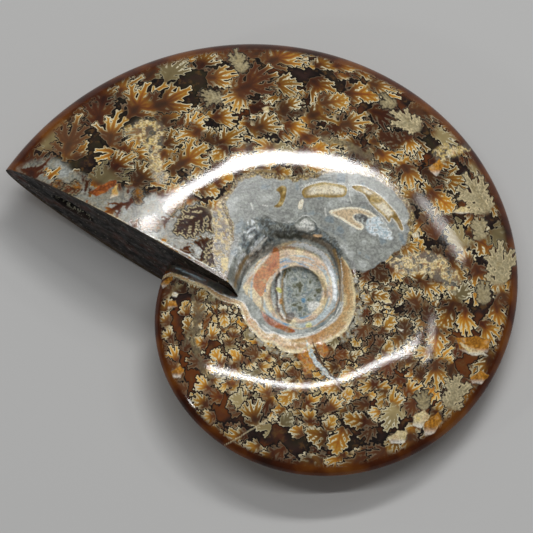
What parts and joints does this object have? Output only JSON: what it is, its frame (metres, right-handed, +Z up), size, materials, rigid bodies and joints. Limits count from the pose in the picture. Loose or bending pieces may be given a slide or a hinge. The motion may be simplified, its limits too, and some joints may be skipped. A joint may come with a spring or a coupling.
{
  "type": "ammonite fossil",
  "caption": "polished cleoniceras ammonite: a flat coiled fossil shell with leaf-like suture pattern, an open navel on each side and a straight sawn end, lying on its flank",
  "frame": {"origin": "centre of the bounding box's base, on the surface that the fossil lies on", "axes": "+Z up from that surface, across the shell's thickness; +X along the shell's greatest width, away from the sawn end; +Y away from the side that the sawn face looks to"},
  "size_m": [0.1132, 0.102, 0.0251],
  "materials": {
    "polished_ammonite": "polished, amber and red-brown with cream-edged leaf-like suture lines"
  },
  "bodies": {
    "root": {"ammonite": "polished_ammonite"}
  },
  "joints": []
}
